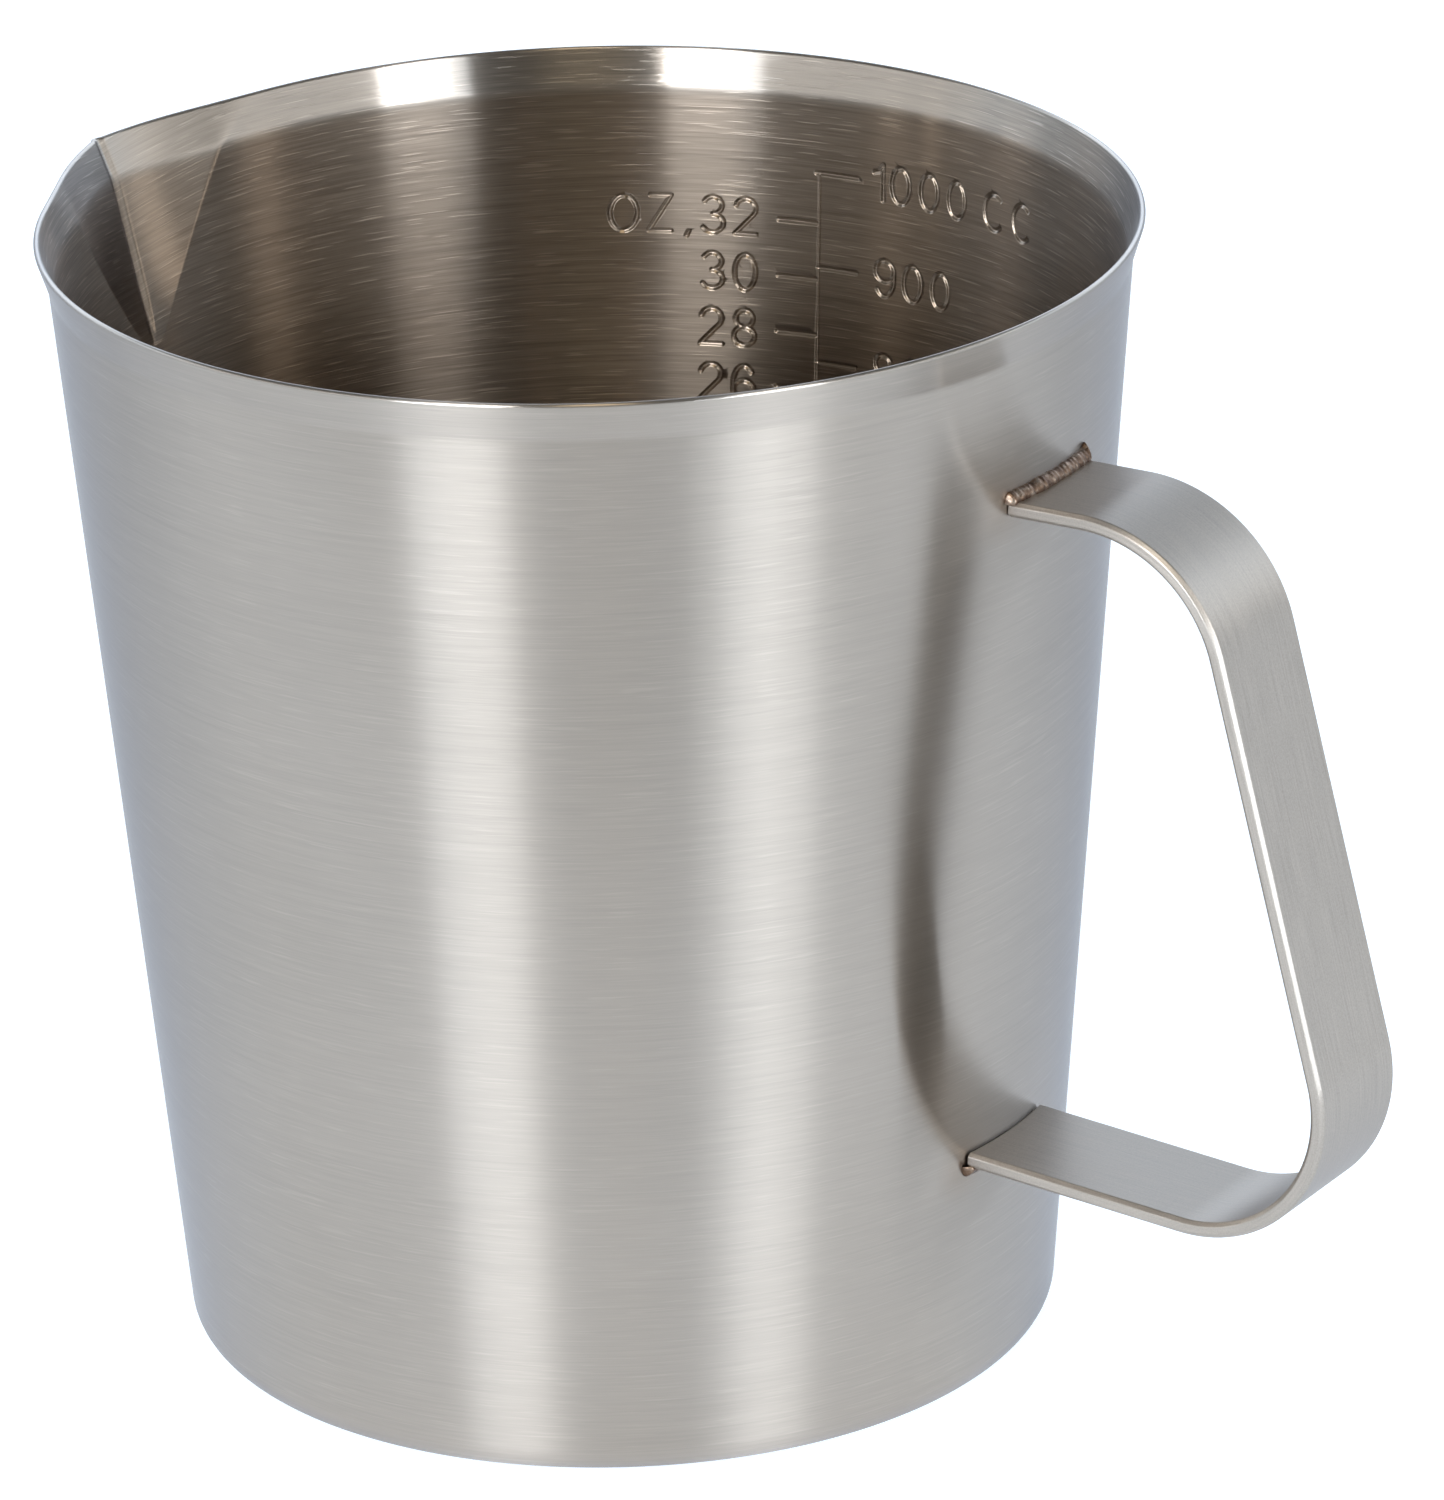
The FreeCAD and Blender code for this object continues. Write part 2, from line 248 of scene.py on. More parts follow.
H = DIGIT_HALF_HEIGHT
SIX = [oval(0, 0, 1.25, H, 40, 180) + [(-1.25, -0.85)], oval(0, -0.85, 1.25, H - 0.85)]
GLYPHS = {
    "0": [oval(0, 0, 1.25, H)],
    "1": [[(0.85, -H), (0.85, H), (0.25, H - 0.8), (-0.35, H - 1.0)]],
    "2": [oval(0, H - 1.15, 1.2, 1.15, 165, -35) + [(-1.25, -H), (1.25, -H)]],
    "3": [oval(0, H - 1.0, 1.08, 1.0, 150, -90), oval(0, -H + 1.08, 1.25, 1.08, 90, -150)],
    "4": [[(0.6, -H), (0.6, H), (-1.3, -0.8), (1.35, -0.8)]],
    "5": [[(1.05, H), (-0.9, H), (-1.1, 0.2)] + oval(0, -0.77, 1.25, 1.3, 132, -145)],
    "6": SIX,
    "7": [[(-1.25, H), (1.25, H), (-0.35, -H)]],
    "8": [oval(0, H - 1.0, 1.05, 1.0), oval(0, -H + 1.08, 1.25, 1.08)],
    "9": turned(SIX),
    "C": [oval(0, 0, 1.675, H, 50, 310)],
    "O": [oval(0, 0, 1.575, H)],
    "Z": [[(-1.1, H), (1.275, H), (-1.275, -H), (1.275, -H)]],
    ".": [[(0.1, -H), (-0.15, -H - 0.55)]],
}


def mark_height(cc):
    return SCALE_TOP - MM_PER_CC * (1000 - cc)


def scale_strokes():
    """The scale's strokes as (start, end, half width), in millimetres round the wall to
    the right of its vertical line, and of height."""
    strokes = []

    def line(points, half):
        strokes.extend((a, b, half) for a, b in zip(points, points[1:]))

    def letter(char, across, height):
        for part in GLYPHS[char]:
            line([(x + across, y + height) for x, y in part], STROKE_HALF)

    # the cubic centimetres to the right of the line, and the ounces to its left
    cc_marks = range(1000, 0, -100)
    oz_marks = range(32, 2, -2)
    line([(0, mark_height(1000)), (0, mark_height(cc_marks[-1]))], LINE_HALF)
    for cc in cc_marks:
        z = mark_height(cc)
        line([(-0.4 if cc == 1000 else 0.0, z), (4.9, z)], STROKE_HALF)
        places = [7.45, 10.7, 14.8, 18.95] if cc == 1000 else [8.7, 12.6, 16.7]
        for char, across in zip(str(cc), places):
            letter(char, across, z)
    for across in (25.1, 30.15):
        letter("C", across, mark_height(1000))
    for oz in oz_marks:
        z = mark_height(oz * CC_PER_OZ)
        line([(-5.0, z), (-0.3, z)], STROKE_HALF)
        places = [-12.9, -9.0] if oz > 9 else [-9.0]
        for char, across in zip(str(oz), places):
            letter(char, across, z)
    top = mark_height(oz_marks[0] * CC_PER_OZ)
    for char, across in zip("OZ.", (-23.25, -19.05, -15.8)):
        letter(char, across, top)
    return strokes


def stamp(radius, height, theta):
    """Depth of the stamped strokes on the inner wall's fine grid, its slopes round and up
    the wall, and how far each point is from a stroke's edge."""
    across = radius[:, None] * (SCALE_THETA - theta)[None, :]
    up = np.repeat(height[:, None], len(theta), 1)
    depth, slope_s, slope_z = (np.zeros(across.shape) for _ in range(3))
    gap = np.full(across.shape, 9.0)
    reach = STROKE_REACH
    for a, b, half in scale_strokes():
        (as_, az), (bs, bz) = a, b
        rows = np.flatnonzero((height > min(az, bz) - reach) & (height < max(az, bz) + reach))
        if not len(rows):
            continue
        cols = np.flatnonzero((across[rows].min(0) < max(as_, bs) + reach)
                              & (across[rows].max(0) > min(as_, bs) - reach))
        if not len(cols):
            continue
        block = np.s_[rows[0]:rows[-1] + 1, cols[0]:cols[-1] + 1]
        s, z = across[block] - as_, up[block] - az
        way = np.array([bs - as_, bz - az])
        t = np.clip((s * way[0] + z * way[1]) / (way @ way), 0, 1)
        ds, dz = s - t * way[0], z - t * way[1]
        d = np.hypot(ds, dz)
        inside = np.clip(1 - (d / half) ** 2, 0, None)
        f = STROKE_DEPTH * (half / STROKE_HALF) * inside ** 2
        steep = -4 * STROKE_DEPTH * (half / STROKE_HALF) * inside / half ** 2
        deeper = f > depth[block]
        depth[block] = np.where(deeper, f, depth[block])
        slope_s[block] = np.where(deeper, steep * ds, slope_s[block])
        slope_z[block] = np.where(deeper, steep * dz, slope_z[block])
        gap[block] = np.minimum(gap[block], d - half)
    return depth, slope_s, slope_z, gap


# ---------------------------------------------------------------- the cup's mesh
def leaves_of(need):
    """The quadtree's cells as (row, column, size): a cell splits while a fine cell in it
    needs a smaller one."""
    smallest, size = {1: need}, 1
    while size < FINE:
        m = smallest[size]
        size *= 2
        smallest[size] = np.minimum(np.minimum(m[::2, ::2], m[1::2, ::2]),
                                    np.minimum(m[::2, 1::2], m[1::2, 1::2]))
    alive, cells = np.ones(smallest[FINE].shape, bool), []
    while size >= 1:
        split = alive & (smallest[size] < size)
        kept = np.argwhere(alive & ~split) * size
        cells.append(np.column_stack([kept, np.full(len(kept), size)]))
        alive = np.repeat(np.repeat(split, 2, 0), 2, 1)
        size //= 2
    return np.vstack(cells)


def cell_faces(cells, rows):
    """Vertex numbers of the cells' corners, and the faces: every face takes in the corners
    of its neighbours that lie on its border, so that nothing gapes."""
    used = np.zeros((rows + 1, FINE_COLUMNS), bool)
    i, j, n = cells.T
    for di in (0, 1):
        for dj in (0, 1):
            used[i + di * n, (j + dj * n) % FINE_COLUMNS] = True
    number = np.full(used.shape, -1)
    number[used] = np.arange(used.sum())
    wide = np.hstack([number, number[:, :1]])
    faces = []
    for i, j, n in cells.tolist():
        border = np.concatenate([wide[i, j:j + n], wide[i:i + n, j + n],
                                 wide[i + n, j + n:j:-1], wide[i + n:i:-1, j]])
        faces.append(border[border >= 0].tolist())
    return used, number, faces


def cup_need(rows, height, theta, gap, scale_cols):
    """The largest cell that each fine cell of the cup may be in: small ones on the bends,
    over the spout's facets, edges and crease, and round and in the stamped strokes."""
    total = len(height) - 1
    need = np.full((total, FINE_COLUMNS), FINE, np.int8)
    for name in ("foot", "outer_neck", "lip", "inner_neck"):
        need[slice(*rows[name])] = FINE // 2
    z = (height[:-1] + height[1:])[:, None] / 2
    side = NECK_RADIUS * np.abs(theta - math.pi)[None, :]
    width, share = spout_width(z)
    first, last = rows["outer_wall"][0], rows["inner_wall"][1]
    on_wall = np.zeros((total, 1), bool)
    on_wall[first:last] = True
    spout = on_wall & (share > 0)
    need[spout & (side < width * 1.35 + 0.6)] = 8
    need[spout & (np.abs(side - width) < 0.5 + 0.08 * width)] = 4
    need[spout & (side < 1.0)] = 2
    low, high = rows["inner_wall"]
    block = need[low:high, scale_cols]
    block[gap < 0.6] = np.minimum(block[gap < 0.6], 8)
    stroke = gap < -0.02
    block[stroke] = 4
    block[stroke & (z[low:high] > MEDIUM_SCALE_ABOVE)] = 2
    block[stroke & (z[low:high] > FINE_SCALE_ABOVE)] = 1
    need[low:high, scale_cols] = block
    return need


def make_cup():
    radius, height, ways, rows = cup_profile()
    theta = np.arange(FINE_COLUMNS) * 2 * math.pi / FINE_COLUMNS
    low, high = rows["inner_wall"]
    scale_cols = np.flatnonzero((theta > SCALE_ANGLES[0]) & (theta < SCALE_ANGLES[1]))
    scale_cols = slice(scale_cols[0], scale_cols[-1] + 1)
    depth, slope_s, slope_z, gap = stamp(radius[low:high], height[low:high],
                                         theta[scale_cols])
    cells = leaves_of(cup_need(rows, height, theta, gap, scale_cols))
    used, number, faces = cell_faces(cells, len(height) - 1)
    i, j = np.nonzero(used)
    th, r, z, way = theta[j], radius[i], height[i], ways[i]

    # the spout moves the points outwards, and its slopes turn their normals
    tiny = 1e-3
    push = spout_push(th, z)
    rise = (spout_push(th, z + tiny) - spout_push(th, z - tiny)) / (2 * tiny)
    turn = (spout_push(th + tiny, z) - spout_push(th - tiny, z)) / (2 * tiny)
    full = r + push
    along_r, along_z = way[:, 0] + rise * way[:, 1], way[:, 1]
    normal = np.column_stack([full * along_z, -turn * along_z, -full * along_r])
    normal /= np.linalg.norm(normal, axis=1)[:, None]

    # the stamped strokes sink into the inner wall
    inner = (i >= low) & (i < high) & (j >= scale_cols.start) & (j < scale_cols.stop)
    row, col = i[inner] - low, j[inner] - scale_cols.start
    dip = np.zeros(len(i))
    dip[inner] = depth[row, col]
    point = np.column_stack([full, np.zeros(len(i)), z]) - dip[:, None] * normal
    lean = math.atan(WALL_SLOPE)
    normal[inner] += (slope_s[row, col, None] * np.array([0.0, -1.0, 0.0])
                      + slope_z[row, col, None] * np.array([math.sin(lean), 0, math.cos(lean)]))
    normal /= np.linalg.norm(normal, axis=1)[:, None]

    # the spout turns from straight opposite the handle to its own place
    th = th + SPOUT_TURN
    out = np.column_stack([np.cos(th), np.sin(th), np.zeros(len(th))])
    round_ = np.column_stack([-np.sin(th), np.cos(th), np.zeros(len(th))])
    up = np.array([0.0, 0.0, 1.0])
    verts = point[:, :1] * out + point[:, 1:2] * round_ + point[:, 2:] * up
    normals = normal[:, :1] * out + normal[:, 1:2] * round_ + normal[:, 2:] * up

    # a fan closes the middle of the underside and of the floor
    for ring, spot, facing in ((0, 0.0, -1.0), (len(height) - 1, SHEET, 1.0)):
        hub = len(verts)
        verts = np.vstack([verts, [0, 0, spot]])
        normals = np.vstack([normals, [0, 0, facing]])
        loop = number[ring][used[ring]].tolist()
        for a, b in zip(loop, loop[1:] + loop[:1]):
            faces.append([hub, b, a] if facing < 0 else [hub, a, b])
    return mesh_piece("cup_body", verts, faces, normals)


def mesh_piece(name, verts, faces, normals=None, uv=None):
    """An object in metres from millimetres, with smooth faces, and normals and a UV map
    where they are given."""
    mesh = bpy.data.meshes.new(name)
    mesh.from_pydata((np.asarray(verts) * MM).tolist(), [], faces)
    mesh.update()
    mesh.polygons.foreach_set("use_smooth", [True] * len(mesh.polygons))
    if uv is not None:
        layer = mesh.uv_layers.new(name="grain")
        corner = np.zeros(len(mesh.loops), int)
        mesh.loops.foreach_get("vertex_index", corner)
        layer.data.foreach_set("uv", np.asarray(uv, np.float32)[corner].ravel())
    if normals is not None:
        mesh.normals_split_custom_set_from_vertices(np.asarray(normals).tolist())
    piece = bpy.data.objects.new(name, mesh)
    SCENE.collection.objects.link(piece)
    return piece


# ---------------------------------------------------------------- the handle strap
def strap_section():
    """The strap's outline across its length as (y, w) points and normals: flat faces and
    sides, with a narrow bevel between them and every corner a little rounded."""
    wide, deep, bevel = STRAP_HALF_WIDTH, STRAP_HALF_THICKNESS, STRAP_CHAMFER
    half = rounded_path([(0, deep), (wide - bevel, deep), (wide, deep - bevel),
                         (wide, bevel - deep), (wide - bevel, -deep), (0, -deep)],
                        [STRAP_EDGE_ROUND] * 4)
    points, ways = zip(*(along(part, np.arange(4) / 4) for part in half))
    points, ways = np.vstack(points), np.vstack(ways)
    normals = np.column_stack([-ways[:, 1], ways[:, 0]])
    return np.vstack([points, -points]), np.vstack([normals, -normals])


def to_wall(points, way, gap):
    """The points moved along way until they are gap outside the cup's wall."""
    moved = points.copy()
    for _ in range(12):
        want = np.sqrt((wall_radius(moved[:, 2]) + gap) ** 2 - moved[:, 1] ** 2)
        moved += ((want - moved[:, 0]) / way[0])[:, None] * way
    return moved


def cut_end(stations, wall_gap):
    """The stations (ring, normals, distance along the strap) with their first end cut to
    the cup's wall and its edge rounded, from the full section over a nose to the cut.
    Those of the first few that are less than END_CLEAR beyond it are left out."""
    ring, side, _ = stations[0]
    onward = (stations[1][0] - ring).mean(0)
    way = onward / np.linalg.norm(onward)
    body = to_wall(ring, way, wall_gap + END_ROUND)
    nose = to_wall(ring - side * END_ROUND * 0.6, way, wall_gap + END_ROUND * 0.25)
    cut = to_wall(ring - side * END_ROUND, way, wall_gap)
    kept = [station for n, station in enumerate(stations)
            if n > 8 or ((station[0] - body.mean(0)) @ way).min() > END_CLEAR]
    back = math.copysign(1, kept[0][2] - kept[1][2])
    start = kept[0][2]
    return [(cut, -way * np.ones_like(side), start + 2.0 * back),
            (nose, side * 0.7 - way * 0.7, start + 1.8 * back),
            (body, side, start + 1.5 * back)] + kept


def make_strap():
    lower_start = (STRAP_START, LOWER_CORNER[1] + LOWER_LEG_RISE)
    segments = rounded_path([(STRAP_START, UPPER_CORNER[1]), UPPER_CORNER, LOWER_CORNER,
                             lower_start], [UPPER_BEND, LOWER_BEND])
    section, facing = strap_section()
    stations, total = [], 0.0
    for k, (segment, steps) in enumerate(zip(segments, (4, 28, 8, 36, 6))):
        shares = np.linspace(0, 1, steps + 1)[(1 if k else 0):]
        for point, way, share in zip(*along(segment, shares), shares):
            out = np.array([-way[1], way[0]])
            ring = np.column_stack([point[0] + section[:, 1] * out[0], section[:, 0],
                                    point[1] + section[:, 1] * out[1]])
            normals = np.column_stack([facing[:, 1] * out[0], facing[:, 0],
                                       facing[:, 1] * out[1]])
            stations.append((ring, normals, total + share * length_of(segment)))
        total += length_of(segment)
    stations = cut_end(stations, UPPER_GAP)
    stations = cut_end(stations[::-1], LOWER_GAP)[::-1]

    rings, normals, travelled = zip(*stations)
    count = len(section)
    edge = np.concatenate([[0], np.cumsum(np.linalg.norm(np.diff(section, axis=0), axis=1))])
    uv = np.array([(t * MM, e * MM) for t in travelled for e in edge])
    faces = []
    for n in range(len(rings) - 1):
        for m in range(count):
            a, b = n * count + m, n * count + (m + 1) % count
            faces.append([a, a + count, b + count, b])
    last = (len(rings) - 1) * count
    faces.append(list(range(count)))
    faces.append([last + m for m in range(count)][::-1])
    return mesh_piece("strap_handle", np.vstack(rings), faces, np.vstack(normals), uv)


# ---------------------------------------------------------------- the weld beads
BEAD_STATIONS = 96
BEAD_POINTS = 18
BEAD_HALF_LENGTH = 8.3
BEAD_RIPPLE = 0.62
# the power of a bead's squared-off oval, and how far it sinks into the wall and the strap
BEAD_SQUARE = 2.6
BEAD_SINK = 0.12


def wobble(x, seed):
    """A smooth uneven curve between about -1 and 1, the same each run."""
    waves = np.random.RandomState(seed).uniform(0, 2 * math.pi, 5)
    return sum(math.sin(x * k + p) / (1 + 0.4 * n)
               for n, (k, p) in enumerate(zip((0.7, 1.3, 2.3, 4.1, 7.3), waves))) / 2.2


def make_bead(name, height, side, seed, leg, spike_height):
    """A fillet bead in the corner between the wall and the strap. side is 1 above the
    strap and -1 below it, leg is its size, and spike_height draws its far end up the wall."""
    verts, faces = [], []
    for k in range(BEAD_STATIONS + 1):
        # the stations crowd towards the ends, which swell a little before they close
        x = -1 + 2 * k / BEAD_STATIONS
        y = BEAD_HALF_LENGTH * math.copysign(1 - (1 - abs(x)) ** 1.15, x)
        end = math.sqrt(max(1 - abs(x) ** 14, 0.0))
        swell = 1 + 0.16 * math.exp(-((abs(x) - 0.93) / 0.06) ** 2)
        ripple = 1 + 0.015 * math.sin(y * 2 * math.pi / BEAD_RIPPLE) + 0.07 * wobble(y, seed)
        spike = 1 + spike_height * math.exp(-((1 - x) / 0.09) ** 2)
        size = leg * end * swell * ripple
        for m in range(BEAD_POINTS):
            a = 2 * math.pi * m / BEAD_POINTS
            ray = np.array([math.cos(a), math.sin(a)])
            flat = (abs(ray[0]) ** BEAD_SQUARE + abs(ray[1]) ** BEAD_SQUARE) ** (-1 / BEAD_SQUARE)
            # an oval across the corner, its ridge facing out of the corner
            across, deep = ray * flat
            w_out = (0.45 + 0.5 * (across + 0.55 * deep)) * size - BEAD_SINK
            w_up = (0.45 + 0.5 * (-across + 0.55 * deep)) * size * spike - BEAD_SINK
            z = height + side * w_up
            r = wall_radius(z) + w_out
            verts.append((math.sqrt(max(r * r - y * y, 0.0)), y, z))
    for k in range(BEAD_STATIONS):
        for m in range(BEAD_POINTS):
            a, b = k * BEAD_POINTS + m, k * BEAD_POINTS + (m + 1) % BEAD_POINTS
            faces.append([a, b, b + BEAD_POINTS, a + BEAD_POINTS])
    last = BEAD_STATIONS * BEAD_POINTS
    faces.append(list(range(BEAD_POINTS))[::-1])
    faces.append([last + m for m in range(BEAD_POINTS)])
    if side < 0:
        faces = [face[::-1] for face in faces]
    return mesh_piece(name, verts, faces)


# ---------------------------------------------------------------- materials
class Tree:
    """A short way to add nodes and link them."""

    def __init__(self, tree):
        self.tree = tree
        tree.nodes.clear()

    def add(self, kind, inputs=None, **settings):
        node = self.tree.nodes.new(kind)
        for key, value in settings.items():
            setattr(node, key, value)
        for key, value in (inputs or {}).items():
            if isinstance(value, bpy.types.NodeSocket):
                self.tree.links.new(value, node.inputs[key])
            else:
                node.inputs[key].default_value = value
        return node

    def math(self, operation, a, b=0.0, clamp=False):
        return self.add("ShaderNodeMath", {0: a, 1: b}, operation=operation,
                        use_clamp=clamp).outputs[0]

    def mix(self, factor, a, b, blend="MIX"):
        node = self.add("ShaderNodeMix", {0: factor, 6: a, 7: b}, data_type="RGBA",
                        blend_type=blend)
        return node.outputs[2]

    def spread(self, value, low, high, to_low, to_high):
        return self.add("ShaderNodeMapRange", {0: value, 1: low, 2: high, 3: to_low,
                                               4: to_high}).outputs[0]

    def noise(self, vector, detail=2.0, roughness=0.55, scale=1.0):
        return self.add("ShaderNodeTexNoise", {"Vector": vector, "Scale": scale,
                                               "Detail": detail, "Roughness": roughness}
                        ).outputs["Fac"]


def new_material(name):
    material = bpy.data.materials.new(name)
    material.use_nodes = True
    return material, Tree(material.node_tree)


STEEL = (0.43, 0.39, 0.347, 1)
# this tint is painted shade: it darkens and browns the inner wall
PAINTED_INNER_SHADE = (0.83, 0.77, 0.71, 1)
HEAT_TINT = (0.30, 0.20, 0.12, 1)
SOFT_SHARE = 0.36


def steel_shader(t, colour, sharp, soft, normal, tangent, anisotropy):
    """Brushed steel: a sharp reflection mixed with a soft one."""
    sharp, soft = (t.add("ShaderNodeBsdfPrincipled",
                         {"Base Color": colour, "Metallic": 1.0, "Roughness": roughness,
                          "Normal": normal, "Tangent": tangent, "Anisotropic": anisotropy,
                          "Anisotropic Rotation": 0.25,
                          "Specular Tint": (0.74, 0.77, 0.84, 1)}).outputs[0]
                   for roughness in (sharp, soft))
    both = t.add("ShaderNodeMixShader", {0: SOFT_SHARE, 1: sharp, 2: soft}).outputs[0]
    t.add("ShaderNodeOutputMaterial", {"Surface": both})


def near_point(t, position, point, inner, outer):
    """1 nearer than inner to the point and 0 beyond outer, in metres."""
    away = t.add("ShaderNodeVectorMath", {0: position, 1: point}, operation="DISTANCE")
    return t.spread(away.outputs["Value"], inner, outer, 1.0, 0.0)


def cup_steel():
    """Steel brushed round the axis, with painted shade on the inner wall, painted glints on its
    scratches and a little heat colour beside the welds.
    """
    material, t = new_material("brushed_cup_steel")
    position = t.add("ShaderNodeTexCoord").outputs["Object"]
    part = t.add("ShaderNodeSeparateXYZ", {0: position}).outputs
    flat = t.add("ShaderNodeCombineXYZ", {0: part[0], 1: part[1]}).outputs[0]
    # the brush lines lie side by side up the wall and outwards over the floor
    from_axis = t.add("ShaderNodeVectorMath", {0: flat}, operation="LENGTH").outputs["Value"]
    line = t.math("ADD", part[2], from_axis)

    def streaks(per_metre_along, per_metre_across, detail):
        vector = t.add("ShaderNodeCombineXYZ",
                       {0: t.math("MULTIPLY", part[0], per_metre_along),
                        1: t.math("MULTIPLY", part[1], per_metre_along),
                        2: t.math("MULTIPLY", line, per_metre_across)}).outputs[0]
        return t.noise(vector, detail)

    long_lines = streaks(45.0, 3200.0, 3.0)
    short_lines = streaks(160.0, 6400.0, 1.0)
    clouds = t.noise(position, 2.0, 0.5, 38.0)
    # the inside is brushed more coarsely than the outside
    facing = t.add("ShaderNodeVectorMath",
                   {0: t.add("ShaderNodeNewGeometry").outputs["Normal"], 1: flat},
                   operation="DOT_PRODUCT").outputs["Value"]
    inside = t.spread(facing, -0.02, 0.02, 1.0, 0.0)
    coarse = t.spread(inside, 0.0, 1.0, 0.9, 1.0)
    both = t.math("ADD", t.math("MULTIPLY", long_lines, 0.6),
                  t.math("MULTIPLY", short_lines, 0.4))
    both = t.math("ADD", t.math("MULTIPLY", t.math("SUBTRACT", both, 0.5), coarse), 0.5)
    scratches_and_glints = t.spread(streaks(190.0, 5000.0, 0.0), 0.66, 0.76, 0.0, 1.0)
    scratches_and_glints = t.math("MULTIPLY", scratches_and_glints, t.spread(inside, 0.0, 1.0, 0.2, 1.0))
    sharp = t.spread(both, 0.3, 0.7, 0.17, 0.215)
    soft = t.spread(both, 0.3, 0.7, 0.42, 0.50)
    lines = t.math("MULTIPLY", t.spread(both, 0.3, 0.7, -1.0, 1.0),
                   t.spread(inside, 0.0, 1.0, 0.09, 0.22))
    # the scratches are also painted lighter in colour: painted glints, strongest inside the cup
    lines = t.math("ADD", lines, t.math("MULTIPLY", scratches_and_glints, 0.35))
    shade = t.math("ADD", lines, t.spread(clouds, 0.3, 0.7, 0.98, 1.02))
    colour = t.mix(1.0, STEEL, t.add("ShaderNodeCombineXYZ",
                                     {0: shade, 1: shade, 2: shade}).outputs[0], "MULTIPLY")
    # painted shade: the inner wall below the flare is painted darker and browner than the rest,
    # standing in for the shade and warm bounced light inside the cup
    bend = NECK_HEIGHT * MM
    painted_shade_mask = t.math("MULTIPLY", inside, t.spread(part[2], bend - 0.001, bend + 0.0005, 1.0, 0.0))
    colour = t.mix(painted_shade_mask, colour, t.mix(1.0, colour, PAINTED_INNER_SHADE, "MULTIPLY"))
    lo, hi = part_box("upper_weld_bead")
    upper = near_point(t, position, (hi.x, lo.y, lo.z), 0.0005, 0.006)
    lo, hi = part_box("lower_weld_bead")
    lower = near_point(t, position, (hi.x, lo.y, hi.z), 0.0005, 0.005)
    heat = t.math("MULTIPLY", t.math("MAXIMUM", upper, lower), 0.35)
    colour = t.mix(heat, colour, HEAT_TINT)
    bump = t.add("ShaderNodeBump", {"Height": both, "Strength": 1.0,
                                    "Distance": 4.0e-6}).outputs[0]
    bump = t.add("ShaderNodeBump", {"Height": scratches_and_glints, "Strength": 1.0,
                                    "Distance": 6.0e-6, "Normal": bump}).outputs[0]
    tangent = t.add("ShaderNodeTangent", direction_type="RADIAL", axis="Z").outputs[0]
    steel_shader(t, colour, sharp, soft, bump, tangent, 1.0)
    return material


def strap_steel():
    """Steel with a satin grain along the strap."""
    material, t = new_material("satin_strap_steel")
    uv = t.add("ShaderNodeUVMap", uv_map="grain").outputs[0]
    part = t.add("ShaderNodeSeparateXYZ", {0: uv}).outputs
    position = t.add("ShaderNodeTexCoord").outputs["Object"]
    vector = t.add("ShaderNodeCombineXYZ", {0: t.math("MULTIPLY", part[0], 110.0),
                                            1: t.math("MULTIPLY", part[1], 3600.0)}).outputs[0]
    lines = t.noise(vector, 3.0)
    grains = t.noise(position, 1.0, 0.5, 5200.0)
    both = t.math("ADD", t.math("MULTIPLY", lines, 0.55), t.math("MULTIPLY", grains, 0.45))
    sharp = t.spread(both, 0.3, 0.7, 0.30, 0.42)
    soft = t.spread(both, 0.3, 0.7, 0.45, 0.55)
    shade = t.spread(both, 0.3, 0.7, 0.84, 1.16)
    colour = t.mix(1.0, STEEL, t.add("ShaderNodeCombineXYZ",
                                     {0: shade, 1: shade, 2: shade}).outputs[0], "MULTIPLY")
    bump = t.add("ShaderNodeBump", {"Height": both, "Strength": 1.0,
                                    "Distance": 7.0e-6}).outputs[0]
    tangent = t.add("ShaderNodeTangent", direction_type="UV_MAP", uv_map="grain").outputs[0]
    steel_shader(t, colour, sharp, soft, bump, tangent, 0.6)
    return material


def weld_metal():
    """Unpolished weld: brown and straw heat colours over bare metal, finely rippled."""
    material, t = new_material("heat_tinted_weld")
    position = t.add("ShaderNodeTexCoord").outputs["Object"]
    patches = t.noise(position, 3.0, 0.6, 900.0)
    grains = t.noise(position, 2.0, 0.6, 4200.0)
    ramp = t.add("ShaderNodeValToRGB", {"Fac": patches})
    ramp.color_ramp.elements[0].position = 0.32
    ramp.color_ramp.elements[0].color = (0.085, 0.05, 0.034, 1)
    ramp.color_ramp.elements[1].position = 0.72
    ramp.color_ramp.elements[1].color = (0.36, 0.29, 0.23, 1)
    middle = ramp.color_ramp.elements.new(0.52)
    middle.color = (0.17, 0.11, 0.075, 1)
    bump = t.add("ShaderNodeBump", {"Height": grains, "Strength": 1.0,
                                    "Distance": 1.0e-5}).outputs[0]
    shader = t.add("ShaderNodeBsdfPrincipled",
                   {"Base Color": ramp.outputs[0], "Metallic": 1.0,
                    "Roughness": t.spread(grains, 0.3, 0.7, 0.25, 0.5), "Normal": bump})
    t.add("ShaderNodeOutputMaterial", {"Surface": shader.outputs[0]})
    return material


